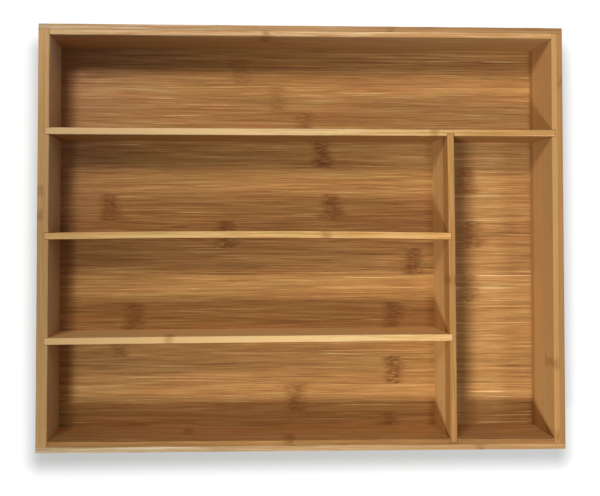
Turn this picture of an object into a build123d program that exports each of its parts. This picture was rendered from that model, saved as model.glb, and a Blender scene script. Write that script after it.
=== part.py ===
from build123d import *
import os

# Overall size of the tray, in millimetres
TRAY_WIDTH = 356.6              # left to right, over the walls
TRAY_DEPTH = 287.0              # front to back, over the walls
TRAY_HEIGHT = 50.0              # from the edge that it rests on up to the rim

# Wall boards, each glued up from two plies
OUTER_PLY = 4.0
INNER_PLY = 3.8
WALL_EASE = 0.8                 # radius on the rim and on the outer edges

# Base panel, held in a groove that runs round the inside of the walls
BASE_THICKNESS = 4.0
BASE_LIFT = 3.0                 # the panel's underside stands this far above the table
GROOVE_DEPTH = 2.2
GROOVE_PLAY = 0.1               # room above the panel in its groove
PANEL_EDGE_PLAY = 0.3           # room for the panel to swell, at each of its edges

# Divider boards
DIVIDER_THICKNESS = 4.8
DIVIDER_EASE = 0.6              # radius on the two long top edges
WALL_HOUSING_DEPTH = 2.6        # how deep a divider's end sits in a wall
DIVIDER_HOUSING_DEPTH = 2.0     # how deep a divider's end sits in another divider
HOUSING_PLAY = 0.1              # room on each side and at the end of a housing

# Compartments, measured between the boards
BACK_COMPARTMENT = 62.3         # front to back, the long compartment along the back
RIGHT_COMPARTMENT = 67.0        # left to right, the upright compartment at the right
SHORT_COMPARTMENTS = 3          # how many equal compartments share the rest

CUT_OVERRUN = 1.0               # every cut runs this far past the face that it opens on

# Places that follow from the sizes above
half_width = TRAY_WIDTH / 2
half_depth = TRAY_DEPTH / 2
inner_x = half_width - OUTER_PLY - INNER_PLY
inner_y = half_depth - OUTER_PLY - INNER_PLY
ply_line_x = half_width - OUTER_PLY
ply_line_y = half_depth - OUTER_PLY
base_top = BASE_LIFT + BASE_THICKNESS

half_divider = DIVIDER_THICKNESS / 2
long_divider_y = inner_y - BACK_COMPARTMENT - half_divider
cross_divider_x = inner_x - RIGHT_COMPARTMENT - half_divider
long_divider_front = long_divider_y - half_divider
cross_divider_left = cross_divider_x - half_divider

short_dividers = SHORT_COMPARTMENTS - 1
room_for_short = long_divider_front + inner_y - short_dividers * DIVIDER_THICKNESS
short_pitch = room_for_short / SHORT_COMPARTMENTS + DIVIDER_THICKNESS
short_divider_ys = [
    long_divider_front + half_divider - short_pitch * (number + 1)
    for number in range(short_dividers)
]


def board(low, high):
    """A rectangular board between its lowest and its highest corner."""
    size = Vector(*high) - Vector(*low)
    return Pos(*low) * Box(size.X, size.Y, size.Z, align=Align.MIN)


def divider_board(low, high, grain):
    """A divider with both long top edges eased; grain is the axis that it runs along."""
    blank = board(low, high)
    top_edges = blank.faces().sort_by(Axis.Z)[-1].edges().filter_by(grain)
    return fillet(top_edges, DIVIDER_EASE)


def crosswise_housing(side, face_x, depth, centre_y):
    """A slot for the end of a board that runs left to right.

    It is cut into the face at face_x, towards side, which is -1 or +1 along X.
    """
    half_slot = half_divider + HOUSING_PLAY
    xs = sorted((face_x - side * CUT_OVERRUN, face_x + side * (depth + HOUSING_PLAY)))
    return board(
        (xs[0], centre_y - half_slot, base_top),
        (xs[1], centre_y + half_slot, TRAY_HEIGHT + CUT_OVERRUN),
    )


def lengthwise_housing(side, face_y, depth, centre_x):
    """A slot for the end of a board that runs front to back, cut towards side along Y."""
    half_slot = half_divider + HOUSING_PLAY
    ys = sorted((face_y - side * CUT_OVERRUN, face_y + side * (depth + HOUSING_PLAY)))
    return board(
        (centre_x - half_slot, ys[0], base_top),
        (centre_x + half_slot, ys[1], TRAY_HEIGHT + CUT_OVERRUN),
    )


def base_groove():
    """The room that the grooves of all four walls leave for the base panel."""
    reach_x = inner_x + GROOVE_DEPTH
    reach_y = inner_y + GROOVE_DEPTH
    return board((-reach_x, -reach_y, BASE_LIFT), (reach_x, reach_y, base_top + GROOVE_PLAY))


def end_wall_outer_ply(side):
    """Outer ply of the front (-1) or back (+1) wall.

    It runs the tray's full width, so that its two ends cover the ends of the side walls.
    """
    ys = sorted((side * ply_line_y, side * half_depth))
    ply = board((-half_width, ys[0], 0), (half_width, ys[1], TRAY_HEIGHT))
    outer_face = ply.faces().sort_by(Axis.Y)[-1 if side > 0 else 0]
    end_edges = ply.edges().filter_by(Axis.Y)
    return fillet(outer_face.edges() + end_edges, WALL_EASE)


def end_wall_inner_ply(side):
    """Inner ply of the front or back wall, which fits between the side walls."""
    ys = sorted((side * inner_y, side * ply_line_y))
    ply = board((-inner_x, ys[0], 0), (inner_x, ys[1], TRAY_HEIGHT))
    rim_edge = ply.edges().filter_by(Axis.X).group_by(Axis.Z)[-1].sort_by(Axis.Y)[0 if side > 0 else -1]
    ply = fillet(rim_edge, WALL_EASE) - base_groove()
    if side < 0:
        ply -= lengthwise_housing(side, side * inner_y, WALL_HOUSING_DEPTH, cross_divider_x)
    return ply


def side_wall_outer_ply(side):
    """Outer ply of the left (-1) or right (+1) wall, which runs between the end walls' outer plies."""
    xs = sorted((side * ply_line_x, side * half_width))
    ply = board((xs[0], -ply_line_y, 0), (xs[1], ply_line_y, TRAY_HEIGHT))
    outer_face = ply.faces().sort_by(Axis.X)[-1 if side > 0 else 0]
    return fillet(outer_face.edges().filter_by(Axis.Y), WALL_EASE)


def side_wall_inner_ply(side):
    """Inner ply of the left or right wall, with the base groove and the dividers' housings."""
    xs = sorted((side * inner_x, side * ply_line_x))
    ply = board((xs[0], -ply_line_y, 0), (xs[1], ply_line_y, TRAY_HEIGHT))
    rim_edge = ply.edges().filter_by(Axis.Y).group_by(Axis.Z)[-1].sort_by(Axis.X)[0 if side > 0 else -1]
    ply = fillet(rim_edge, WALL_EASE) - base_groove()
    housed = [long_divider_y] if side > 0 else [long_divider_y] + short_divider_ys
    for centre_y in housed:
        ply -= crosswise_housing(side, side * inner_x, WALL_HOUSING_DEPTH, centre_y)
    return ply


def base_panel():
    """The floor of all compartments, one panel whose edges lie in the grooves."""
    reach_x = inner_x + GROOVE_DEPTH - PANEL_EDGE_PLAY
    reach_y = inner_y + GROOVE_DEPTH - PANEL_EDGE_PLAY
    return board((-reach_x, -reach_y, BASE_LIFT), (reach_x, reach_y, base_top))


def long_divider():
    """The full-width divider in front of the back compartment."""
    reach_x = inner_x + WALL_HOUSING_DEPTH
    divider = divider_board(
        (-reach_x, long_divider_front, base_top),
        (reach_x, long_divider_y + half_divider, TRAY_HEIGHT),
        Axis.X,
    )
    return divider - lengthwise_housing(1, long_divider_front, DIVIDER_HOUSING_DEPTH, cross_divider_x)


def cross_divider():
    """The front-to-back divider, housed in the long divider and in the front wall."""
    divider = divider_board(
        (cross_divider_left, -inner_y - WALL_HOUSING_DEPTH, base_top),
        (cross_divider_x + half_divider, long_divider_front + DIVIDER_HOUSING_DEPTH, TRAY_HEIGHT),
        Axis.Y,
    )
    for centre_y in short_divider_ys:
        divider -= crosswise_housing(1, cross_divider_left, DIVIDER_HOUSING_DEPTH, centre_y)
    return divider


def short_divider(centre_y):
    """A divider between two short compartments, housed in the left wall and the cross divider."""
    return divider_board(
        (-inner_x - WALL_HOUSING_DEPTH, centre_y - half_divider, base_top),
        (cross_divider_left + DIVIDER_HOUSING_DEPTH, centre_y + half_divider, TRAY_HEIGHT),
        Axis.X,
    )


pieces = {
    "front_wall_outer_ply": end_wall_outer_ply(-1),
    "front_wall_inner_ply": end_wall_inner_ply(-1),
    "back_wall_outer_ply": end_wall_outer_ply(1),
    "back_wall_inner_ply": end_wall_inner_ply(1),
    "left_wall_outer_ply": side_wall_outer_ply(-1),
    "left_wall_inner_ply": side_wall_inner_ply(-1),
    "right_wall_outer_ply": side_wall_outer_ply(1),
    "right_wall_inner_ply": side_wall_inner_ply(1),
    "base_panel": base_panel(),
    "long_divider": long_divider(),
    "cross_divider": cross_divider(),
}
for number, centre_y in enumerate(short_divider_ys, start=1):
    pieces[f"short_divider_{number}"] = short_divider(centre_y)

os.makedirs("parts", exist_ok=True)
for name, piece in pieces.items():
    piece.label = name
    export_step(piece, f"parts/{name}.step")
    print(name, round(piece.volume), "cubic mm")
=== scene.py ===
from collections import namedtuple
from math import inf, radians

import bmesh
import bpy
from bpy.props import FloatProperty, FloatVectorProperty, PointerProperty
from mathutils import Color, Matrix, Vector


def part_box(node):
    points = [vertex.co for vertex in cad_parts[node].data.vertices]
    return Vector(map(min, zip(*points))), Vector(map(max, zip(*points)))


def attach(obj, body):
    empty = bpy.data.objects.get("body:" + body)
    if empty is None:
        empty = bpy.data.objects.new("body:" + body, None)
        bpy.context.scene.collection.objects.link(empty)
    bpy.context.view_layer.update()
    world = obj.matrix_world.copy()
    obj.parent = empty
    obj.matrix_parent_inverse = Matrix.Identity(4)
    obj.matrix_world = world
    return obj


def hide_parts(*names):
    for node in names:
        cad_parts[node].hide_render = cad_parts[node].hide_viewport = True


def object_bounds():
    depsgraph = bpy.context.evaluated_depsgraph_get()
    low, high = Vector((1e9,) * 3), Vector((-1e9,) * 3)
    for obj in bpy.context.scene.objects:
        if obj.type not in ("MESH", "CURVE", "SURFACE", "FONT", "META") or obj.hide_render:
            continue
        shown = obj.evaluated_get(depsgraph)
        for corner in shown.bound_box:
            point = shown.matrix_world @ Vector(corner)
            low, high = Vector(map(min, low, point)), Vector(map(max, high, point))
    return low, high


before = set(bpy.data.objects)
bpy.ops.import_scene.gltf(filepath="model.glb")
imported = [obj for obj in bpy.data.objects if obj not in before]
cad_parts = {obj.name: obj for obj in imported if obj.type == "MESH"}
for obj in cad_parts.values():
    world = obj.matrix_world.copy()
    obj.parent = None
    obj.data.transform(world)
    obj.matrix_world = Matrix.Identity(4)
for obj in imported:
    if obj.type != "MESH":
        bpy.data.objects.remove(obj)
cad_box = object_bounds()

bl_info = {
    "name": "Bamboo cutlery tray",
    "version": (1, 0, 0),
    "blender": (4, 5, 0),
    "location": "View3D > Sidebar > Tray",
    "description": "Dresses the boards of a bamboo cutlery tray and sets its studio stage",
    "category": "Add Mesh",
}

MM = 0.001
X, Y, Z = range(3)

# The faces of an upright box: the axis that each one faces along, and which end of it
FACES = {"left": (X, 0), "right": (X, 1), "front": (Y, 0), "back": (Y, 1), "bottom": (Z, 0), "top": (Z, 1)}
OPPOSITE = {"left": "right", "right": "left", "front": "back", "back": "front"}
ENDS = {X: ("left", "right"), Y: ("front", "back")}
SIDEWAYS = {X: Y, Y: X}

EASE_SEGMENTS = 3
FLUSH_SEGMENTS = 1
PANEL_SEGMENTS = 2
SMOOTH_ANGLE = radians(35)
ON_FACE = 0.002 * MM  # a point nearer to a plane than this lies on it
CUT_OVERRUN = 1.0 * MM  # a cutter runs this far past the face that it opens
GROOVE_DEPTH = 2.2 * MM  # how deep the base panel's groove is in the walls
GROOVE_PLAY = 0.1 * MM  # room above the panel in its groove
BOARD_PLAY = 1.5 * MM  # the most that a bent board may leave the box of its node
SANDING_SIZE = 14 * MM  # size of the uneven patches that hand sanding leaves
KNUCKLE_RANGE = 400 * MM  # length along a board over which knuckle places are held as shares
NO_KNUCKLE = 200  # stands for a knuckle beyond the end of its strip, in mm
BODY = "root"
STRAIGHT = (0, 0, 0)
SHORT_DIVIDERS = ("short_divider_1", "short_divider_2")

# Bamboo strips as (first knuckle, second knuckle, tone, strength): knuckles in mm from the middle
# of the board, tone from 0 for the darkest strip to 1 for the palest, and how plain the knuckles are
BASE_STRIPS = (
    (NO_KNUCKLE, NO_KNUCKLE, 0.435, 0.0),
    (-42, NO_KNUCKLE, 0.425, 0.42),
    (-15, NO_KNUCKLE, 0.52, 0.43),
    (5, NO_KNUCKLE, 0.53, 0.64),
    (18, NO_KNUCKLE, 0.49, 1.0),
    (123, NO_KNUCKLE, 0.45, 0.65),
    (-135, 25, 0.455, 0.86),
    (-52, 127.3, 0.375, 0.82),
    (84, NO_KNUCKLE, 0.41, 0.93),
    (125.5, NO_KNUCKLE, 0.48, 0.6),
    (-118, 69, 0.475, 0.77),
    (-128, NO_KNUCKLE, 0.45, 0.69),
    (70, NO_KNUCKLE, 0.43, 0.95),
    (-1, NO_KNUCKLE, 0.555, 0.80),
    (65, NO_KNUCKLE, 0.48, 0.56),
)
BASE_STRIP_START = 9.0 - 19.55  # mm from the panel's back edge to where its first strip would begin
WALL_STRIP_START = -6.0  # height in mm where the lowest strip of a wall would begin
DIVIDER_STRIP_START = -2.0
BOARD_TONE = 0.44  # tone of a common strip in a wall or a divider

# How a board is finished: what its face and its sanded rim add to each strip's tone, how much more the
# face adds with every TONE_SPAN of height (rise, painted shade that darkens the face towards its foot),
# how much more each adds with every TONE_SPAN along the grain (lean), what tints them, how strong the
# grain is on each, how dark the line between two strips is, how far a knuckle reaches in mm, and how
# much of its patch shows under its dashes
Finish = namedtuple(
    "Finish",
    "face_tone face_rise face_lean rim_tone rim_lean face_tint rim_tint face_contrast rim_contrast "
    "seam knuckle_reach knuckle_patch",
)
TONE_SPAN = 100  # mm
RIM_RANGE = (1.1, 0.35)  # how far below a board's top its rim begins, and is full, in mm
SEAM_REACH = 0.3  # how far the line between two strips reaches to each side, in mm
PLAIN = (1.0, 1.0, 1.0)
FAINTLY_GREY = (0.985, 1.0, 1.12)
GREYISH = (0.97, 1.02, 1.20)
GREYER = (0.94, 1.04, 1.40)
WARM = (1.03, 0.965, 0.86)
GOLDEN = (1.03, 0.95, 0.78)

# The base is paler towards its left end, as painted light, and tinted towards its two back corners.
# A corner's range is of the distance along the grain, towards its side, plus half the distance across it, in
# mm
BASE_FINISH = Finish(0, 0, 0, 0, 0, PLAIN, PLAIN, 1.0, 1.0, seam=0.10, knuckle_reach=5.1, knuckle_patch=1.0)
LEFT_END_PAINTED_LIGHT = 0.045
LEFT_END_RANGE = (-10.0, -150.0)
RIGHT_CORNER_TINT = (0.98, 1.02, 1.13)
RIGHT_CORNER_RANGE = (40.0, 160.0)
LEFT_CORNER_TINT = (0.99, 1.03, 1.35)
LEFT_CORNER_RANGE = (120.0, 210.0)

# In the right compartment the base has painted light and shade: it is paler and greyer at the foot of the
# cross divider, as painted light over the divider's shade, paler again along the middle, as a painted pool of
# light, and darker beside the wall, as painted shade. The ranges are in mm from the foot or from the wall
UNDER_DIVIDER = 1  # the compartment's tones begin this far under the divider
FOOT_PAINTED_LIGHT = 0.16
FOOT_PAINTED_LIGHT_TINT = (0.95, 1.04, 1.0)
FOOT_RANGE = (21, 12)
MIDDLE_PAINTED_LIGHT = 0.085
MIDDLE_RANGE = (23, 30)
WALL_PAINTED_SHADE = -0.065
WALL_RANGE = (29, 12)

# The grain. A size is the length along the fibres and the width across them, in mm
SEED_STEP = (17.3, 5.9, 9.1)  # how far each seed moves the noise of its streaks
STRIP_STEP = (137.0, 41.0, 23.0)
STREAK_RANGE = (0.28, 0.72)  # the part of a noise's values that makes the streaks
STREAK_ROUGHNESS = 0.55
GRAIN_LAYERS = (  # length, width, share of the whole grain, seed
    (120.0, 3.6, 0.18, 1),
    (70.0, 1.2, 0.34, 2),
    (28.0, 0.7, 0.36, 3),
    (7.0, 0.6, 0.12, 7),
)
GLINT_STREAKS = (75.0, 1.0, 1.0, 4)  # length, width, detail, seed
GLINT_RANGE = (0.66, 1.0)
MEANDER_SIZE = (65.0, 10.0)
MEANDER = 1.9  # how far the fibres meander, in mm

# A knuckle. Distances from it are in shares of its reach
WANDER_SIZE = (inf, 6.5)
WANDER_RANGE = (0.25, 0.75)
WANDER = 0.45  # how far its line strays to each side
NARROW_RANGE = (0.3, 0.7)
NARROWING = (0.75, 1.45)  # how much narrower it is, from place to place along its line
HALO_RANGE = (3.2, 0.4)  # where the fibres begin to swerve, and where they do so most
CORE_RANGE = (2.3, 0.3)  # where its patch begins, and where it is full
SWERVE_SIZE = (16.0, 8.0)
SWERVE = 0.45
CALM = 0.65  # how much of the grain it wipes out
HOLLOW = 0.25  # how deep it lies, against the height of the grain
SPOT_STREAKS = (5.5, 1.0, 1.0, 5)
PATCH_RANGE = (0.1, 0.5, 0.54, 0.68)  # of the spots' values, and how dark these make the patch
DASH_RANGE = (0.52, 0.9, 0.0, 0.3)
FLECK_STREAKS = (5.0, 0.9, 0.0, 6)
FLECK_RANGE = (0.72, 0.94)

# The colour and the surface
STREAK_SHARE = 0.76
GLINT_SHARE = 0.24
FLECK_SHARE = 0.38
DRIFT_SIZE = (60.0, 5.0)
DRIFT_RANGE = (0.3, 0.7)
PINKISH = (1.05, 0.965, 0.93)
YELLOWISH = (0.965, 1.02, 0.96)
ROUGHNESS = (0.6, 0.46)  # between the streaks and on them
SPECULAR = 0.15
BUMP_STRENGTH = 0.35
BUMP_DEPTH = 0.12 * MM

# The lamps: name, side, place, the point that it looks at, spread in degrees and colour
LAMPS = (
    ("back", 0.25, (-0.371, 0.571, 1.0), (-0.018, 0.738, 0), 101.2, (1.0, 0.92, 0.81)),
    ("front", 0.24, (-0.417, -0.654, 1.13), (0.943, -1.261, 0), 127.4, (1.0, 1.05, 0.98)),
    ("right", 0.1, (0.2, 0.0, 0.95), (0.3, -0.03, 0), 60, (1.0, 1.0, 1.05)),
    ("fill", 0.6, (1.3, 0.1, 0.28), (0, 0, 0), 180, (0.76, 0.97, 1.36)),
)

# The soft shadow painted on the floor round the tray, over the faint real shadow that the floor keeps, and
# how much of the floor's light is its own
SHADOW_SHIFT = Vector((4.0, -12.5, 0)) * MM
SHADOW_GROWTH = Vector((8.5, 2.5, 0)) * MM
SHADOW_REACH = 18.0 * MM
SHADOW_DEPTH = 0.54
FLOOR_GLOW = 1.08
GLOW_SHARE = 0.88
FLOOR_GREY = (0.82, 0.82, 0.82, 1)
WHITE = (1, 1, 1, 1)

# Node layout, and where a mix node keeps its factor, its two colours and its result
NODE_STEP = (220, -200)
NODE_ROWS = 6
MIX_INPUTS = (0, 6, 7)
MIX_RESULT = 2


def board_finish(
    face, rim, rim_lean, rise=0, lean=0, face_tint=PLAIN, rim_tint=PLAIN, face_contrast=0.3, rim_contrast=0.6,
):
    """The finish of a board whose rim shows."""
    # rise is painted shade: the face is darker towards its foot
    tones = (face, rise, lean, rim, rim_lean)
    looks = (face_tint, rim_tint, face_contrast, rim_contrast)
    return Finish(*tones, *looks, seam=0.0, knuckle_reach=2.6, knuckle_patch=0.9)


def outside_strips(first, second=NO_KNUCKLE):
    """The strips of a wall's outer ply, from the bottom up, with the given knuckles in the top one."""
    return (
        (first - 96, NO_KNUCKLE, BOARD_TONE - 0.03, 0.4),
        (first + 74, -150, BOARD_TONE + 0.03, 0.35),
        (first, second, BOARD_TONE, 0.6),
    )


def inside_strips(top, second=NO_KNUCKLE, middle=NO_KNUCKLE, foot_tone=BOARD_TONE, top_tone=BOARD_TONE):
    """The strips of a board inside the tray, from the bottom up, with the knuckles of the upper two."""
    return (
        (NO_KNUCKLE, NO_KNUCKLE, foot_tone, 0.0),
        (middle, NO_KNUCKLE, BOARD_TONE, 0.6),
        (top, second, top_tone, 0.6),
    )


# The strips and the finish of each wall ply, and the grain, the strips and the finish of each divider
WALL_BOARDS = {
    ("front", "outer"): (outside_strips(120), board_finish(0, 0.255, -0.12, rim_tint=GREYER)),
    ("front", "inner"): (
        inside_strips(-8.4, middle=-78),
        board_finish(0.24, -0.04, -0.08, 0.1, 0.025, FAINTLY_GREY, face_contrast=0.8),
    ),
    ("back", "outer"): (outside_strips(60), board_finish(0, 0.21, -0.135, rim_tint=GREYER)),
    ("back", "inner"): (
        inside_strips(-25.3),
        board_finish(0.15, 0.36, -0.085, 0.44, -0.012, GREYISH, FAINTLY_GREY, face_contrast=0.5),
    ),
    ("left", "outer"): (outside_strips(31.0, 14.3), board_finish(0, 0.38, 0.02, rim_contrast=0.2)),
    ("left", "inner"): (
        inside_strips(NO_KNUCKLE),
        board_finish(0.13, 0.375, 0.026, 0.26, 0.08, face_tint=GREYISH, rim_contrast=0.2),
    ),
    ("right", "outer"): (
        outside_strips(107.4), board_finish(0, 0, 0.05, rim_tint=GREYISH, rim_contrast=0.2),
    ),
    ("right", "inner"): (
        # The darker lowest strip of the right wall's inner face is painted shade at the wall's foot
        inside_strips(-85.6, -134, foot_tone=BOARD_TONE - 0.20),
        board_finish(0.305, 0.175, 0.07, 0, 0.005, FAINTLY_GREY, FAINTLY_GREY, 0.15, 0.2),
    ),
}
DIVIDER_BOARDS = {
    "long_divider": (
        X, inside_strips(89.8),
        board_finish(0.025, 0.515, -0.195, lean=-0.03, face_contrast=0.6),
    ),
    "cross_divider": (Y, inside_strips(-29.3, top_tone=BOARD_TONE - 0.28), board_finish(0.37, 0.36, 0.07)),
    "short_divider_1": (X, inside_strips(15.3), board_finish(0.2, 0.42, -0.045, rim_tint=GOLDEN)),
    "short_divider_2": (
        X, inside_strips(-90.1),
        board_finish(0.555, 0.575, -0.205, lean=-0.05, face_tint=WARM, rim_tint=WARM),
    ),
}


def size_setting(name, description, default, least=0):
    """A length setting, with its default and its least value in mm."""
    return FloatProperty(
        name=name, description=description,
        default=default * MM, min=least * MM, precision=5, unit="LENGTH",
    )


def bend_setting(name, start, end, side, default):
    """How a divider is bent, in mm: how far its first end, its bow and its last end go to one side."""
    return FloatVectorProperty(
        name=name, description=f"How far its {start} end, its bow and its {end} end go to the {side}",
        default=[value * MM for value in default], size=3, precision=5, unit="LENGTH",
    )


class TrayShape(bpy.types.PropertyGroup):
    """Sizes that the finished boards add to those of the frame"""

    strip_width: size_setting("Strip width", "Width of one bamboo strip", 19.55, 5)
    wall_ease: size_setting("Wall ease", "Radius on the rim and on the outer edges of the walls", 0.8, 0.1)
    divider_ease: size_setting("Divider ease", "Radius on the top edges of the dividers", 0.6, 0.1)
    joint_ease: size_setting("Joint ease", "Radius on the edges where two boards meet flush", 0.12, 0.02)
    housing_play: size_setting("Housing play", "Room round a divider's end in its housing", 0.1)
    wear: size_setting("Sanding wear", "How far hand sanding eats into an eased edge", 0.22)
    station_gap: size_setting("Station gap", "Distance between the cross sections along a board", 6, 1)
    joint_groove: size_setting("Joint groove", "Depth of the hairline between two strips of the base", 0.05)
    cross_divider_bend: bend_setting("Cross divider bend", "front", "back", "right", (0.75, 0.2, -0.5))
    short_divider_1_bend: bend_setting("Short divider 1 bend", "left", "right", "back", (-0.83, 1.2, -0.63))
    short_divider_2_bend: bend_setting("Short divider 2 bend", "left", "right", "back", (-1.17, 0.22, 0.5))


def wood_colour(name, description, value):
    """A colour setting, written as an sRGB hex value and held in linear light."""
    linear = Color(channel / 255 for channel in bytes.fromhex(value)).from_srgb_to_scene_linear()
    return FloatVectorProperty(
        name=name, description=description, default=tuple(linear), size=3, min=0, max=1, subtype="COLOR",
    )


class TrayColours(bpy.types.PropertyGroup):
    """Colours of the bamboo"""

    deep: wood_colour("Deep", "The darkest fibres", "674429")
    dark: wood_colour("Dark", "Dark strips", "906237")
    middle: wood_colour("Middle", "The common tone of a strip", "AD7D47")
    light: wood_colour("Light", "Light strips", "C5965D")
    pale: wood_colour("Pale", "The palest fibres, as on sanded edges", "EFCC99")
    knuckle: wood_colour("Knuckle", "What a knuckle of the cane leaves of the wood's colour", "A8854A")
    fleck: wood_colour("Fleck", "Short light flecks within a knuckle", "CFA066")


def power_setting(name, lamp, default):
    """The power of a lamp."""
    return FloatProperty(name=name, description=f"Power of the {lamp}", default=default, min=0, unit="POWER")


class TrayStage(bpy.types.PropertyGroup):
    """The camera, lamps and floor"""

    camera_place: FloatVectorProperty(
        name="Camera place", description="Where the camera stands",
        default=(-0.0547, 0.0047, 0.6358), size=3, precision=4, subtype="TRANSLATION", unit="LENGTH",
    )
    camera_turn: FloatVectorProperty(
        name="Camera turn", description="How the camera is turned from looking straight down",
        default=(radians(1.565), radians(-2.057), radians(0.043)), size=3, precision=4, subtype="EULER",
    )
    lens: FloatProperty(
        name="Lens", description="Focal length on a sensor 36 mm wide",
        default=52.26, min=10, subtype="DISTANCE_CAMERA",
    )
    shift: FloatVectorProperty(
        name="Shift", description="How far the picture is shifted, as a share of its width",
        default=(0.0778, -0.0697), size=2, precision=4,
    )
    back_lamp_power: power_setting("Back lamp", "lamp at the back left", 5.95)
    front_lamp_power: power_setting("Front lamp", "lamp at the front left", 23.6)
    right_lamp_power: power_setting("Right lamp", "weak lamp above the right side", 0.207)
    fill_lamp_power: power_setting("Fill lamp", "low, weak lamp at the right", 4.7)
    ambient: FloatProperty(
        name="Ambient", description="Light that comes from all round",
        default=0.045, min=0, max=1, subtype="FACTOR",
    )
    floor_size: FloatProperty(
        name="Floor size", description="Side of the square floor",
        default=8.0, min=1, unit="LENGTH",
    )


def on_face(point, box, face):
    """Whether a point lies on the named face of a box."""
    axis, end = FACES[face]
    return abs(point[axis] - box[end][axis]) < ON_FACE


def select_only(board):
    """Makes a piece the only selected object, and the active one."""
    bpy.ops.object.select_all(action="DESELECT")
    board.select_set(True)
    bpy.context.view_layer.objects.active = board


def add_block(name, box):
    """A box primitive between two corners, with its place in its mesh."""
    low, high = box
    bpy.ops.object.select_all(action="DESELECT")
    bpy.ops.mesh.primitive_cube_add(size=1, location=(low + high) / 2)
    block = bpy.context.object
    block.name = block.data.name = name
    block.scale = high - low
    bpy.ops.object.transform_apply(location=True, rotation=True, scale=True)
    return block


def select_parts(board, kind, wanted):
    """Selects, in edit mode, only the edges or the vertices whose points satisfy wanted."""
    bpy.ops.mesh.select_all(action="DESELECT")
    bpy.ops.mesh.select_mode(type=kind)
    mesh = bmesh.from_edit_mesh(board.data)
    if kind == "EDGE":
        for edge in mesh.edges:
            edge.select_set(wanted(*(vertex.co for vertex in edge.verts)))
    else:
        for vertex in mesh.verts:
            vertex.select_set(wanted(vertex.co))
        mesh.select_flush(True)
    bmesh.update_edit_mesh(board.data)


def ease_edges(board, box, pairs, radius, segments, group=None):
    """Rounds the edges between pairs of faces, such as "top back", and notes them in a vertex group."""

    def wanted(first, second):
        return any(
            all(on_face(end, box, face) for end in (first, second) for face in pair.split())
            for pair in pairs
        )

    select_parts(board, "EDGE", wanted)
    bpy.ops.mesh.bevel(offset=radius, segments=segments, affect="EDGES")
    if group:
        board.vertex_groups.new(name=group)
        bpy.ops.object.vertex_group_assign()


def slice_at(board, axis, place):
    """Cuts one cross section through a board, across an axis."""
    bpy.ops.mesh.select_all(action="SELECT")
    point, normal = Vector(), Vector()
    point[axis], normal[axis] = place, 1
    bpy.ops.mesh.bisect(plane_co=point, plane_no=normal)


def add_stations(board, box, grain, gap):
    """Cuts cross sections at even steps along the grain, so that the board can bend and wear."""
    low, high = box[0][grain], box[1][grain]
    count = max(2, round((high - low) / gap))
    for number in range(1, count):
        slice_at(board, grain, low + (high - low) * number / count)


def stand_off(bend, share):
    """How far a bent board stands off its straight line, at a share of its length."""
    start, bow, end = bend
    return start + (end - start) * share + bow * 4 * share * (1 - share)


def bend_board(board, box, grain, bend):
    """Moves each cross section sideways, square to the grain, to where the bend puts it."""
    side = SIDEWAYS[grain]
    low, high = box[0][grain], box[1][grain]
    mesh = bmesh.from_edit_mesh(board.data)
    for place in sorted({round(vertex.co[grain] / ON_FACE) * ON_FACE for vertex in mesh.verts}):
        select_parts(board, "VERT", lambda point: abs(point[grain] - place) < ON_FACE)
        step = Vector()
        step[side] = stand_off(bend, (place - low) / (high - low))
        bpy.ops.transform.translate(value=step)


def wear_edges(board, group, depth):
    """Sands the eased edges away by uneven amounts, always inwards."""
    texture = bpy.data.textures.get("Hand sanding")
    if texture is None:
        texture = bpy.data.textures.new("Hand sanding", "CLOUDS")
        texture.noise_scale = SANDING_SIZE
        texture.noise_depth = 1
    worn = board.modifiers.new("Sanding", "DISPLACE")
    worn.texture = texture
    worn.texture_coords = "LOCAL"
    worn.vertex_group = group
    worn.mid_level = 1
    worn.strength = depth
    bpy.ops.object.modifier_apply(modifier=worn.name)


def cut(board, boxes):
    """Cuts boxes out of a board."""
    for box in boxes:
        cutter = add_block("cutter", box)
        select_only(board)
        opening = board.modifiers.new("Opening", "BOOLEAN")
        opening.operation = "DIFFERENCE"
        opening.solver = "EXACT"
        opening.object = cutter
        bpy.ops.object.modifier_apply(modifier=opening.name)
        bpy.data.meshes.remove(cutter.data)


def check_board(board, node):
    """Raises an error if a board isn't a closed body or has left the box of its node."""
    mesh = bmesh.new()
    mesh.from_mesh(board.data)
    closed = all(edge.is_manifold for edge in mesh.edges)
    mesh.free()
    if not closed:
        raise RuntimeError(f"{board.name} isn't closed")
    low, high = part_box(node)
    for vertex in board.data.vertices:
        if any(not low[a] - BOARD_PLAY <= vertex.co[a] <= high[a] + BOARD_PLAY for a in (X, Y, Z)):
            raise RuntimeError(f"{board.name} has left the box of {node}")


def hand_over(board, node, material):
    """Finishes a board's shading, checks it and lets it stand for its node."""
    select_only(board)
    bpy.ops.object.shade_smooth_by_angle(angle=SMOOTH_ANGLE)
    weighted = board.modifiers.new("Even shading", "WEIGHTED_NORMAL")
    weighted.keep_sharp = True
    bpy.ops.object.modifier_apply(modifier=weighted.name)
    board.vertex_groups.clear()
    board.data.materials.append(material)
    check_board(board, node)
    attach(board, BODY)
    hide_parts(node)


def make_board(name, box, grain, eased, flush, ease, shape, bend=None):
    """A board with worn, eased edges and fine flush ones, bent where a bend is given."""
    board = add_block(name, box)
    bpy.ops.object.mode_set(mode="EDIT")
    ease_edges(board, box, eased, ease, EASE_SEGMENTS, group="eased")
    ease_edges(board, box, flush, shape.joint_ease, FLUSH_SEGMENTS)
    add_stations(board, box, grain, shape.station_gap)
    if bend:
        bend_board(board, box, grain, bend)
    bpy.ops.object.mode_set(mode="OBJECT")
    wear_edges(board, "eased", shape.wear)
    return board


def inner_faces():
    """The lowest and highest corner of the room between the four walls, at no height."""
    return (
        Vector((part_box("left_wall_inner_ply")[1].x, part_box("front_wall_inner_ply")[1].y, 0)),
        Vector((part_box("right_wall_inner_ply")[0].x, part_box("back_wall_inner_ply")[0].y, 0)),
    )


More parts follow.
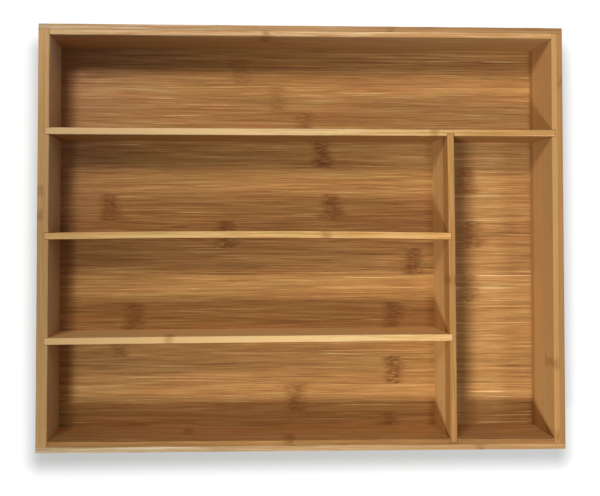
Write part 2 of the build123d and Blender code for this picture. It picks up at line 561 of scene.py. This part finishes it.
def base_groove():
    """The room that the walls leave for the edges of the base panel."""
    low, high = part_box("base_panel")
    inner_low, inner_high = inner_faces()
    return (
        Vector((inner_low.x - GROOVE_DEPTH, inner_low.y - GROOVE_DEPTH, low.z)),
        Vector((inner_high.x + GROOVE_DEPTH, inner_high.y + GROOVE_DEPTH, high.z + GROOVE_PLAY)),
    )


def bend_of(node, shape):
    """The bend of a divider: the long one is straight."""
    return getattr(shape, f"{node}_bend", STRAIGHT)


def divider_place(node, share, shape):
    """Where the middle of a divider's thickness is, at a share of its length."""
    low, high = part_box(node)
    side = SIDEWAYS[DIVIDER_BOARDS[node][0]]
    return (low[side] + high[side]) / 2 + stand_off(bend_of(node, shape), share)


def housing(node, end, opened_face, shape):
    """The slot that takes one end of a divider: end is 0 or 1, opened_face where the slot opens."""
    low, high = (Vector(corner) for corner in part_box(node))
    grain = DIVIDER_BOARDS[node][0]
    side = SIDEWAYS[grain]
    half = (high[side] - low[side]) / 2 + shape.housing_play
    middle = divider_place(node, end, shape)
    low[side], high[side] = middle - half, middle + half
    high.z += CUT_OVERRUN
    if end == 0:
        low[grain] -= shape.housing_play
        high[grain] = opened_face + CUT_OVERRUN
    else:
        high[grain] += shape.housing_play
        low[grain] = opened_face - CUT_OVERRUN
    return low, high


def feed(tree, socket, value):
    """Gives a socket a value, or a link where the value is the output of a node."""
    if isinstance(value, bpy.types.NodeSocket):
        tree.links.new(value, socket)
    elif value is not None:
        socket.default_value = value


def add_node(tree, kind, *inputs, **settings):
    """Adds a node, makes its settings, and feeds its sockets in order; None leaves one as it is."""
    node = tree.nodes.new(kind)
    column, row = divmod(len(tree.nodes), NODE_ROWS)
    node.location = (NODE_STEP[0] * column, NODE_STEP[1] * row)
    for setting, value in settings.items():
        setattr(node, setting, value)
    for socket, value in zip(node.inputs, inputs):
        feed(tree, socket, value)
    return node


def add_fed(tree, kind, given, **settings):
    """Adds a node, makes its settings, feeds its sockets by their names, and returns its outputs."""
    node = add_node(tree, kind, **settings)
    for name, value in given.items():
        feed(tree, node.inputs[name], value)
    return node.outputs


def maths(tree, operation, *inputs, clamp=False):
    """The result of one sum on numbers."""
    return add_node(tree, "ShaderNodeMath", *inputs, operation=operation, use_clamp=clamp).outputs[0]


def vector_maths(tree, operation, *inputs):
    """The result of one sum on vectors."""
    return add_node(tree, "ShaderNodeVectorMath", *inputs, operation=operation).outputs[0]


def rescale(tree, value, low, high, to_low=0.0, to_high=1.0, smooth=False):
    """A value taken from one range to another and kept within it."""
    kind = "SMOOTHSTEP" if smooth else "LINEAR"
    node = add_node(tree, "ShaderNodeMapRange", value, low, high, to_low, to_high, interpolation_type=kind)
    return node.outputs[0]


def blend(tree, factor, first, second, how="MIX"):
    """Two colours mixed by a factor."""
    node = add_node(tree, "ShaderNodeMix", data_type="RGBA", blend_type=how)
    for number, value in zip(MIX_INPUTS, (factor, first, second)):
        feed(tree, node.inputs[number], value)
    return node.outputs[MIX_RESULT]


def emptied_tree(owner):
    """The node tree of a material or of the world, with nothing in it."""
    owner.use_nodes = True
    owner.node_tree.nodes.clear()
    return owner.node_tree


def drawn_out_noise(tree, place, length, width, detail, roughness, shift=None):
    """The outputs of a noise whose patches have a length along the grain and a width in mm."""
    place = vector_maths(tree, "MULTIPLY", place, (1 / length, 1 / width, 1 / width))
    if shift:
        place = vector_maths(tree, "ADD", place, shift)
    return add_node(tree, "ShaderNodeTexNoise", place, None, 1.0, detail, roughness).outputs


def streaks(tree, place, length, width, detail, seed):
    """Streaks along the grain, from 0 to 1, of a length and width in mm."""
    shift = [seed * step for step in SEED_STEP]
    noise = drawn_out_noise(tree, place, length, width, detail, STREAK_ROUGHNESS, shift)
    return rescale(tree, noise["Fac"], *STREAK_RANGE)


def open_group(name, inputs, outputs):
    """An empty node group with inputs and outputs, given as the names of the sockets of each kind."""
    group = bpy.data.node_groups.new(name, "ShaderNodeTree")
    for way, kinds in (("INPUT", inputs), ("OUTPUT", outputs)):
        for kind, names in kinds.items():
            for socket in names:
                group.interface.new_socket(socket, in_out=way, socket_type=f"NodeSocket{kind}")
    return group, group.nodes.new("NodeGroupInput").outputs, group.nodes.new("NodeGroupOutput").inputs


def knuckle_zones(group, given, place):
    """How much of a knuckle's halo and of its core there is at a place, each from 0 to 1."""
    # Its distance is measured along a line that wanders, and it narrows and widens along that line
    uneven = drawn_out_noise(group, place, *WANDER_SIZE, 2.0, 0.6)["Color"]
    uneven = add_node(group, "ShaderNodeSeparateColor", uneven).outputs
    wander = rescale(group, uneven[0], *WANDER_RANGE, -WANDER, WANDER)
    narrow = rescale(group, uneven[1], *NARROW_RANGE, *NARROWING)
    along = add_node(group, "ShaderNodeSeparateXYZ", given["Place"]).outputs[0]
    distances = []
    for knuckle in ("First knuckle", "Second knuckle"):
        distance = maths(group, "SUBTRACT", along, given[knuckle])
        distance = maths(group, "DIVIDE", distance, given["Knuckle reach"])
        distances.append(maths(group, "ABSOLUTE", maths(group, "ADD", distance, wander)))
    near = maths(group, "MULTIPLY", maths(group, "MINIMUM", *distances), narrow)
    halo = rescale(group, near, *HALO_RANGE, smooth=True)
    core = rescale(group, near, *CORE_RANGE, smooth=True)
    return halo, core


def cane_grain_group():
    """Fibres of a strip of cane, which swerve round its two knuckles."""
    group, given, result = open_group(
        "Cane grain",
        {
            "Vector": ["Place"],
            "Float": ["Strip", "First knuckle", "Second knuckle", "Knuckle reach", "Knuckle patch"],
        },
        {"Float": ["Streak", "Glint", "Knuckle", "Fleck", "Height"]},
    )
    link = group.links.new
    strip_shift = vector_maths(group, "MULTIPLY", given["Strip"], STRIP_STEP)
    place = vector_maths(group, "ADD", given["Place"], strip_shift)
    halo, core = knuckle_zones(group, given, place)

    # The fibres leave their straight course near a knuckle, and meander a little everywhere
    swerve = drawn_out_noise(group, place, *SWERVE_SIZE, 1.0, 0.5)["Color"]
    swerve = vector_maths(group, "SUBTRACT", swerve, (0.5, 0.5, 0.5))
    swerve = vector_maths(group, "MULTIPLY", swerve, (0.0, SWERVE, SWERVE))
    amount = maths(group, "MULTIPLY", halo, given["Knuckle reach"])
    swerve = vector_maths(group, "SCALE", swerve, None, None, amount)
    meander = drawn_out_noise(group, place, *MEANDER_SIZE, 1.0, 0.5)["Color"]
    meander = vector_maths(group, "MULTIPLY", meander, (0.0, MEANDER, MEANDER))
    place = vector_maths(group, "ADD", vector_maths(group, "ADD", place, swerve), meander)

    streak = 0.0
    for length, width, share, seed in GRAIN_LAYERS:
        layer = streaks(group, place, length, width, 1.0, seed)
        streak = maths(group, "MULTIPLY_ADD", layer, share, streak)
    calm = maths(group, "MULTIPLY_ADD", core, -CALM, 1.0)
    streak = maths(group, "MULTIPLY_ADD", maths(group, "SUBTRACT", streak, 0.5), calm, 0.5)
    link(streak, result["Streak"])

    # A few thin pale lines stand out from the rest
    glint = rescale(group, streaks(group, place, *GLINT_STREAKS), *GLINT_RANGE, smooth=True)
    link(glint, result["Glint"])

    # A knuckle is a dark patch with darker dashes, and a few pale flecks between them
    spots = streaks(group, place, *SPOT_STREAKS)
    patch = rescale(group, spots, *PATCH_RANGE, smooth=True)
    patch = maths(group, "MULTIPLY", patch, given["Knuckle patch"])
    dashes = rescale(group, spots, *DASH_RANGE, smooth=True)
    knuckle = maths(group, "MULTIPLY", core, maths(group, "ADD", patch, dashes))
    link(knuckle, result["Knuckle"])
    flecks = rescale(group, streaks(group, place, *FLECK_STREAKS), *FLECK_RANGE, smooth=True)
    link(maths(group, "MULTIPLY", flecks, core), result["Fleck"])
    link(maths(group, "MULTIPLY_ADD", knuckle, -HOLLOW, streak), result["Height"])
    return group


def bamboo_colour_group(colours):
    """Colour of bamboo from its grain, tone and knuckles."""
    group, given, result = open_group(
        "Bamboo colour",
        {
            "Vector": ["Place"], "Color": ["Tint"],
            "Float": ["Tone", "Contrast", "Streak", "Glint", "Knuckle", "Fleck"],
        },
        {"Color": ["Color"], "Float": ["Roughness"]},
    )
    tone = maths(group, "SUBTRACT", given["Streak"], 0.5)
    tone = maths(group, "MULTIPLY", tone, STREAK_SHARE)
    tone = maths(group, "MULTIPLY_ADD", given["Glint"], GLINT_SHARE, tone)
    tone = maths(group, "MULTIPLY_ADD", tone, given["Contrast"], given["Tone"], clamp=True)
    ramp = add_node(group, "ShaderNodeValToRGB", tone)
    stops = ramp.color_ramp.elements
    stops[1].position = 1.0
    for share in (0.25, 0.5, 0.75):
        stops.new(share)
    for stop, colour in zip(stops, (colours.deep, colours.dark, colours.middle, colours.light, colours.pale)):
        stop.color = (*colour, 1)
    colour = blend(group, 1.0, ramp.outputs["Color"], given["Tint"], "MULTIPLY")

    # Broad patches drift towards pink and towards yellow
    drift = drawn_out_noise(group, given["Place"], *DRIFT_SIZE, 2.0, 0.6)["Fac"]
    tint = blend(group, rescale(group, drift, *DRIFT_RANGE), (*PINKISH, 1), (*YELLOWISH, 1))
    colour = blend(group, 1.0, colour, tint, "MULTIPLY")

    # A knuckle darkens and reddens the wood that it crosses
    stain = blend(group, given["Knuckle"], WHITE, (*colours.knuckle, 1))
    colour = blend(group, 1.0, colour, stain, "MULTIPLY")
    fleck = maths(group, "MULTIPLY", given["Fleck"], FLECK_SHARE)
    colour = blend(group, fleck, colour, (*colours.fleck, 1))
    group.links.new(colour, result["Color"])
    group.links.new(rescale(group, given["Streak"], 0.0, 1.0, *ROUGHNESS), result["Roughness"])
    return group


def shared_group(name, maker, *values):
    """A node group by its name, made the first time that it is asked for."""
    return bpy.data.node_groups.get(name) or maker(*values)


def strip_values(tree, share, strips):
    """The knuckles, tone and knuckle strength of the strip at a share of the way over all strips."""
    count = len(strips)
    ramp = add_node(tree, "ShaderNodeValToRGB", share)
    ramp.color_ramp.interpolation = "CONSTANT"
    stops = ramp.color_ramp.elements
    for number in range(2, count):
        stops.new(number / count)
    for number, (first, second, tone, strength) in enumerate(strips):
        stops[number].position = number / count
        shares = [0.5 + knuckle * MM / KNUCKLE_RANGE for knuckle in (first, second)]
        stops[number].color = (*shares, tone, strength)
    held = add_node(tree, "ShaderNodeSeparateColor", ramp.outputs["Color"]).outputs
    end = KNUCKLE_RANGE / MM / 2
    knuckles = [rescale(tree, held[i], 0.0, 1.0, -end, end) for i in (0, 1)]
    return knuckles, held[2], ramp.outputs["Alpha"]


def right_compartment_painted_light(tree, along, across):
    """The painted light and shade that the right compartment adds to the base's tone, and how near the cross
    divider's foot is.
    """
    low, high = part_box("cross_divider")
    foot = high.x / MM
    wall = inner_faces()[1].x / MM
    right_of_it = maths(tree, "GREATER_THAN", along, foot - UNDER_DIVIDER)
    inside = maths(tree, "MULTIPLY", right_of_it, maths(tree, "LESS_THAN", across, high.y / MM))
    # Painted light over the shade at the cross divider's foot
    near_foot = rescale(tree, along, *(foot + reach for reach in FOOT_RANGE), smooth=True)
    near_foot = maths(tree, "MULTIPLY", near_foot, inside)
    # Painted light along the middle of the compartment, falling to painted shade beside the wall
    away = rescale(tree, along, *(foot + reach for reach in MIDDLE_RANGE), smooth=True)
    away = maths(tree, "MULTIPLY", away, inside)
    from_wall = [wall - reach for reach in WALL_RANGE]
    rise = rescale(tree, along, *from_wall, MIDDLE_PAINTED_LIGHT, WALL_PAINTED_SHADE, smooth=True)
    rise = maths(tree, "MULTIPLY", rise, away)
    return maths(tree, "MULTIPLY_ADD", near_foot, FOOT_PAINTED_LIGHT, rise), near_foot


def base_look(tree, along, across, strip_tone):
    """The tone and the tint of the base panel."""
    # Painted light: the base grows paler towards its left end
    left_end = rescale(tree, along, *LEFT_END_RANGE, 0.0, LEFT_END_PAINTED_LIGHT, smooth=True)
    painted_light_tone, near_foot = right_compartment_painted_light(tree, along, across)
    tone = maths(tree, "ADD", strip_tone, maths(tree, "ADD", left_end, painted_light_tone))
    towards_right = maths(tree, "MULTIPLY_ADD", across, 0.5, along)
    corner = rescale(tree, towards_right, *RIGHT_CORNER_RANGE, smooth=True)
    tint = blend(tree, corner, (*PLAIN, 1), (*RIGHT_CORNER_TINT, 1))
    towards_left = maths(tree, "SUBTRACT", maths(tree, "MULTIPLY", across, 0.5), along)
    corner = rescale(tree, towards_left, *LEFT_CORNER_RANGE, smooth=True)
    tint = blend(tree, corner, tint, (*LEFT_CORNER_TINT, 1))
    return tone, blend(tree, near_foot, tint, (*FOOT_PAINTED_LIGHT_TINT, 1))


def board_look(tree, along, height, strip_tone, finish, top):
    """The tone, the tint and the contrast of a board, whose sanded rim has its own."""
    rim = rescale(tree, height, *(top - depth for depth in RIM_RANGE), smooth=True)
    # Painted shade: the face darkens towards its foot by the rise
    face_tone = maths(tree, "MULTIPLY_ADD", height, finish.face_rise / TONE_SPAN, finish.face_tone)
    face_tone = maths(tree, "MULTIPLY_ADD", along, finish.face_lean / TONE_SPAN, face_tone)
    rim_tone = maths(tree, "MULTIPLY_ADD", along, finish.rim_lean / TONE_SPAN, finish.rim_tone)
    rim_tone = maths(tree, "SUBTRACT", rim_tone, face_tone)
    tone = maths(tree, "ADD", strip_tone, maths(tree, "MULTIPLY_ADD", rim_tone, rim, face_tone))
    tint = blend(tree, rim, (*finish.face_tint, 1), (*finish.rim_tint, 1))
    return tone, tint, rescale(tree, rim, 0.0, 1.0, finish.face_contrast, finish.rim_contrast)


def bamboo(name, grain, across, strips, start, finish, top=None):
    """Bamboo for one board.

    grain and across are the axes that its fibres run along and its strips lie side by side on.
    start is where the first strip begins, in mm: if it is above zero, the strips follow each other
    down the axis. top is the height of the rim; the base panel has none.
    """
    scene = bpy.context.scene
    material = bpy.data.materials.new(name)
    tree = emptied_tree(material)
    through = ({X, Y, Z} - {grain, across}).pop()

    place = add_node(tree, "ShaderNodeTexCoord").outputs["Object"]
    place = vector_maths(tree, "MULTIPLY", place, (1 / MM, 1 / MM, 1 / MM))
    axes = add_node(tree, "ShaderNodeSeparateXYZ", place).outputs
    place = add_node(tree, "ShaderNodeCombineXYZ", axes[grain], axes[across], axes[through]).outputs[0]

    # Which strip a point lies on, and what that strip is like
    width = scene.tray_shape.strip_width / MM
    turned = -1 if start > 0 else 1
    strip = maths(tree, "MULTIPLY", maths(tree, "SUBTRACT", axes[across], start), turned / width)
    whole = maths(tree, "FLOOR", strip)
    share = maths(tree, "DIVIDE", maths(tree, "ADD", whole, 0.5), len(strips))
    knuckles, strip_tone, strength = strip_values(tree, share, strips)
    if top is None:
        tone, tint = base_look(tree, axes[grain], axes[across], strip_tone)
        contrast = finish.face_contrast
    else:
        tone, tint, contrast = board_look(tree, axes[grain], axes[Z], strip_tone, finish, top)

    # A thin darker line where two strips are glued
    edge = maths(tree, "PINGPONG", strip, 0.5)
    seam = rescale(tree, edge, 0.0, SEAM_REACH / width, finish.seam, 0.0, smooth=True)
    tone = maths(tree, "SUBTRACT", tone, seam)

    cane = add_fed(
        tree, "ShaderNodeGroup",
        {
            "Place": place, "Strip": whole, "First knuckle": knuckles[0], "Second knuckle": knuckles[1],
            "Knuckle reach": finish.knuckle_reach, "Knuckle patch": finish.knuckle_patch,
        },
        node_tree=shared_group("Cane grain", cane_grain_group),
    )
    bold = maths(tree, "SQRT", strength)
    coloured = add_fed(
        tree, "ShaderNodeGroup",
        {
            "Place": place, "Tone": tone, "Tint": tint, "Contrast": contrast,
            "Streak": cane["Streak"], "Glint": cane["Glint"],
            "Knuckle": maths(tree, "MULTIPLY", cane["Knuckle"], strength),
            "Fleck": maths(tree, "MULTIPLY", cane["Fleck"], bold),
        },
        node_tree=shared_group("Bamboo colour", bamboo_colour_group, scene.tray_colours),
    )
    bump = add_fed(
        tree, "ShaderNodeBump",
        {"Strength": BUMP_STRENGTH, "Distance": BUMP_DEPTH, "Height": cane["Height"]},
    )
    shader = add_fed(
        tree, "ShaderNodeBsdfPrincipled",
        {
            "Base Color": coloured["Color"], "Roughness": coloured["Roughness"],
            "Specular IOR Level": SPECULAR, "Normal": bump["Normal"],
        },
    )
    add_fed(tree, "ShaderNodeOutputMaterial", {"Surface": shader["BSDF"]})
    return material


def wall_ply(side, layer, shape, cuts=()):
    """One ply of a wall: side is front, back, left or right, and layer is outer or inner."""
    node = f"{side}_wall_{layer}_ply"
    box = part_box(node)
    end_wall = side in ENDS[Y]
    grain = X if end_wall else Y
    inner_side = OPPOSITE[side]
    ends = ENDS[grain]
    if layer == "outer":
        eased = [f"{side} top", f"{side} bottom"]
        flush = [f"{inner_side} top"]
        if end_wall:
            eased += [f"{side} {end}" for end in ends]
            eased += [f"{end} {level}" for end in ends for level in ("top", "bottom")]
        else:
            flush += [f"{end} top" for end in ends]
    else:
        eased = [f"{inner_side} top"]
        flush = [f"{side} top"] + [f"{end} top" for end in ends]
    name = f"{side}_{layer}_ply_board"
    board = make_board(name, box, grain, eased, flush, shape.wall_ease, shape)
    cut(board, cuts)
    strips, finish = WALL_BOARDS[side, layer]
    title = f"{side.capitalize()} wall {layer} bamboo"
    material = bamboo(title, grain, Z, strips, WALL_STRIP_START, finish, box[1].z / MM)
    hand_over(board, node, material)


def divider_board(node, cuts, shape, end_shift=0):
    """One divider, with its bend and the housings of the boards that it carries.

    end_shift is how much farther than its node's box its right or back end goes.
    """
    grain, strips, finish = DIVIDER_BOARDS[node]
    low, high = (Vector(corner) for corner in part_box(node))
    high[grain] += end_shift
    eased = [f"{side} top" for side in ENDS[SIDEWAYS[grain]]]
    flush = [f"{end} top" for end in ENDS[grain]]
    bend = bend_of(node, shape)
    board = make_board(f"{node}_board", (low, high), grain, eased, flush, shape.divider_ease, shape, bend)
    cut(board, cuts)
    title = f"{node.replace('_', ' ').capitalize()} bamboo"
    material = bamboo(title, grain, Z, strips, DIVIDER_STRIP_START, finish, high.z / MM)
    hand_over(board, node, material)


def cross_face(node, shape):
    """Where the left face of the cross divider is, at the right end of a short divider."""
    low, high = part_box("cross_divider")
    share = (divider_place(node, 1, shape) - low.y) / (high.y - low.y)
    half = (high.x - low.x) / 2
    return divider_place("cross_divider", share, shape) - half


class TRAY_OT_end_walls(bpy.types.Operator):
    """Build the two plies of the front wall and of the back wall"""

    bl_idname = "tray.end_walls"
    bl_label = "End walls"

    def execute(self, context):
        shape = context.scene.tray_shape
        groove = base_groove()
        face = inner_faces()[0].y
        slot = housing("cross_divider", 0, face, shape)
        for side in ("front", "back"):
            wall_ply(side, "outer", shape)
            wall_ply(side, "inner", shape, [groove, slot] if side == "front" else [groove])
        return {"FINISHED"}


class TRAY_OT_side_walls(bpy.types.Operator):
    """Build the two plies of the left wall and of the right wall, with the dividers' housings"""

    bl_idname = "tray.side_walls"
    bl_label = "Side walls"

    def execute(self, context):
        shape = context.scene.tray_shape
        groove = base_groove()
        left_face, right_face = (corner.x for corner in inner_faces())
        housed = {
            "left": [housing(node, 0, left_face, shape) for node in ("long_divider", *SHORT_DIVIDERS)],
            "right": [housing("long_divider", 1, right_face, shape)],
        }
        for side, slots in housed.items():
            wall_ply(side, "outer", shape)
            wall_ply(side, "inner", shape, [groove, *slots])
        return {"FINISHED"}


class TRAY_OT_base_panel(bpy.types.Operator):
    """Build the base panel, with a hairline groove between its strips"""

    bl_idname = "tray.base_panel"
    bl_label = "Base panel"

    def execute(self, context):
        shape = context.scene.tray_shape
        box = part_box("base_panel")
        low, high = box
        panel = add_block("base_panel_board", box)
        bpy.ops.object.mode_set(mode="EDIT")
        rims = [f"{side} {level}" for side in OPPOSITE for level in ("top", "bottom")]
        ease_edges(panel, box, rims, 2 * shape.joint_ease, PANEL_SEGMENTS)
        half_hairline = 2 * shape.joint_groove
        joints = []
        joint = high.y - BASE_STRIP_START * MM - shape.strip_width
        while joint > low.y:
            joints.append(joint)
            for step in (-1, 0, 1):
                slice_at(panel, Y, joint + step * half_hairline)
            joint -= shape.strip_width
        for level, inwards in ((high.z, -1), (low.z, 1)):
            select_parts(panel, "VERT", lambda point: abs(point.z - level) < ON_FACE and any(
                abs(point.y - joint) < ON_FACE for joint in joints
            ))
            bpy.ops.transform.translate(value=(0, 0, inwards * shape.joint_groove))
        bpy.ops.object.mode_set(mode="OBJECT")
        start = high.y / MM - BASE_STRIP_START
        material = bamboo("Base panel bamboo", X, Y, BASE_STRIPS, start, BASE_FINISH)
        hand_over(panel, "base_panel", material)
        return {"FINISHED"}


class TRAY_OT_long_divider(bpy.types.Operator):
    """Build the divider in front of the back compartment, with the cross divider's housing"""

    bl_idname = "tray.long_divider"
    bl_label = "Long divider"

    def execute(self, context):
        shape = context.scene.tray_shape
        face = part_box("long_divider")[0].y
        divider_board("long_divider", [housing("cross_divider", 1, face, shape)], shape)
        return {"FINISHED"}


class TRAY_OT_cross_divider(bpy.types.Operator):
    """Build the front to back divider, with the housings of the two short dividers"""

    bl_idname = "tray.cross_divider"
    bl_label = "Cross divider"

    def execute(self, context):
        shape = context.scene.tray_shape
        slots = []
        for node in SHORT_DIVIDERS:
            face = cross_face(node, shape)
            low, high = housing(node, 1, face, shape)
            high.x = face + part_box(node)[1].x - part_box("cross_divider")[0].x + shape.housing_play
            slots.append((low, high))
        divider_board("cross_divider", slots, shape)
        return {"FINISHED"}


class TRAY_OT_short_dividers(bpy.types.Operator):
    """Build the two dividers between the short compartments"""

    bl_idname = "tray.short_dividers"
    bl_label = "Short dividers"

    def execute(self, context):
        shape = context.scene.tray_shape
        nominal_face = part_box("cross_divider")[0].x
        for node in SHORT_DIVIDERS:
            divider_board(node, [], shape, end_shift=cross_face(node, shape) - nominal_face)
        return {"FINISHED"}


def add_lamp(name, place, aim, side, spread, power, colour):
    """A square soft lamp that looks at a point, and lights a cone round the line to it."""
    place = Vector(place)
    turn = (Vector(aim) - place).to_track_quat("-Z", "Y").to_euler()
    bpy.ops.object.light_add(type="AREA", location=place, rotation=turn)
    lamp = bpy.context.object
    lamp.name = lamp.data.name = name
    lamp.data.shape = "SQUARE"
    lamp.data.size = side
    lamp.data.spread = spread
    lamp.data.energy = power
    lamp.data.color = colour


def seen_straight(tree):
    """1 for rays of the camera, also past glass or off a polished face, and 0 for all others."""
    rays = add_node(tree, "ShaderNodeLightPath").outputs
    seen = maths(tree, "MAXIMUM", rays["Is Camera Ray"], rays["Is Glossy Ray"])
    return maths(tree, "MAXIMUM", seen, rays["Is Transmission Ray"])


def floor_material():
    """White floor that keeps a faint real shadow, with a soft painted shadow along the front of the tray."""
    material = bpy.data.materials.new("Studio floor")
    tree = emptied_tree(material)
    low, high = cad_box
    place = add_node(tree, "ShaderNodeTexCoord").outputs["Object"]
    centre = (low + high) / 2 + SHADOW_SHIFT
    half = (high - low) / 2 + SHADOW_GROWTH
    away = vector_maths(tree, "SUBTRACT", place, centre)
    away = vector_maths(tree, "SUBTRACT", vector_maths(tree, "ABSOLUTE", away), half)
    away = vector_maths(tree, "MAXIMUM", away, (0, 0, 0))
    away = vector_maths(tree, "MULTIPLY", away, (1, 1, 0))
    distance = add_node(tree, "ShaderNodeVectorMath", away, operation="LENGTH").outputs["Value"]
    # Painted shadow: the floor's own light dims near the tray
    glow_with_painted_shadow = rescale(tree, distance, 0.0, SHADOW_REACH, SHADOW_DEPTH, FLOOR_GLOW, smooth=True)
    glow = add_node(tree, "ShaderNodeEmission", WHITE, glow_with_painted_shadow)
    matt = add_node(tree, "ShaderNodeBsdfDiffuse", FLOOR_GREY)
    share = maths(tree, "MULTIPLY", seen_straight(tree), GLOW_SHARE)
    mixed = add_node(tree, "ShaderNodeMixShader", share, matt.outputs[0], glow.outputs[0])
    add_fed(tree, "ShaderNodeOutputMaterial", {"Surface": mixed.outputs[0]})
    return material


def white_world(ambient):
    """White behind everything for the camera, and dim light from all round."""
    world = bpy.data.worlds.new("Studio")
    tree = emptied_tree(world)
    strength = rescale(tree, seen_straight(tree), 0.0, 1.0, ambient, 1.0)
    background = add_node(tree, "ShaderNodeBackground", WHITE, strength)
    add_fed(tree, "ShaderNodeOutputWorld", {"Surface": background.outputs[0]})
    return world


class TRAY_OT_stage(bpy.types.Operator):
    """Set the floor, lamps, world and camera"""

    bl_idname = "tray.stage"
    bl_label = "Stage"

    def execute(self, context):
        scene = context.scene
        stage = scene.tray_stage
        bpy.ops.object.select_all(action="DESELECT")
        bpy.ops.mesh.primitive_plane_add(size=stage.floor_size)
        floor = context.object
        floor.name = floor.data.name = "floor"
        floor.data.materials.append(floor_material())

        for name, side, place, aim, spread, colour in LAMPS:
            power = getattr(stage, f"{name}_lamp_power")
            add_lamp(f"{name.capitalize()} lamp", place, aim, side, radians(spread), power, colour)
        scene.world = white_world(stage.ambient)

        bpy.ops.object.camera_add(location=stage.camera_place, rotation=stage.camera_turn)
        camera = context.object
        camera.data.lens = stage.lens
        camera.data.shift_x, camera.data.shift_y = stage.shift
        camera.data.dof.use_dof = False
        scene.camera = camera
        scene.view_settings.view_transform = "Standard"
        return {"FINISHED"}


class TRAY_PT_build(bpy.types.Panel):
    """Lists the steps that build the tray, and their settings"""

    bl_idname = "TRAY_PT_build"
    bl_label = "Cutlery tray"
    bl_space_type = "VIEW_3D"
    bl_region_type = "UI"
    bl_category = "Tray"

    def draw(self, context):
        for step in STEPS:
            self.layout.operator(step.bl_idname)
        for group in ("tray_shape", "tray_colours", "tray_stage"):
            box = self.layout.box()
            settings = getattr(context.scene, group)
            for setting in settings.bl_rna.properties:
                if not setting.is_readonly and setting.identifier != "name":
                    box.prop(settings, setting.identifier)


SETTINGS = {"tray_shape": TrayShape, "tray_colours": TrayColours, "tray_stage": TrayStage}
STEPS = (
    TRAY_OT_end_walls,
    TRAY_OT_side_walls,
    TRAY_OT_base_panel,
    TRAY_OT_long_divider,
    TRAY_OT_cross_divider,
    TRAY_OT_short_dividers,
    TRAY_OT_stage,
)


def register():
    for item in (*SETTINGS.values(), *STEPS, TRAY_PT_build):
        bpy.utils.register_class(item)
    for name, group in SETTINGS.items():
        setattr(bpy.types.Scene, name, PointerProperty(type=group))


def unregister():
    for name in SETTINGS:
        delattr(bpy.types.Scene, name)
    for item in (TRAY_PT_build, *reversed(STEPS), *reversed(SETTINGS.values())):
        bpy.utils.unregister_class(item)


def main():
    """Builds the whole tray, step by step."""
    register()
    bpy.ops.tray.end_walls()
    bpy.ops.tray.side_walls()
    bpy.ops.tray.base_panel()
    bpy.ops.tray.long_divider()
    bpy.ops.tray.cross_divider()
    bpy.ops.tray.short_dividers()
    bpy.ops.tray.stage()


if __name__ == "__main__":
    main()
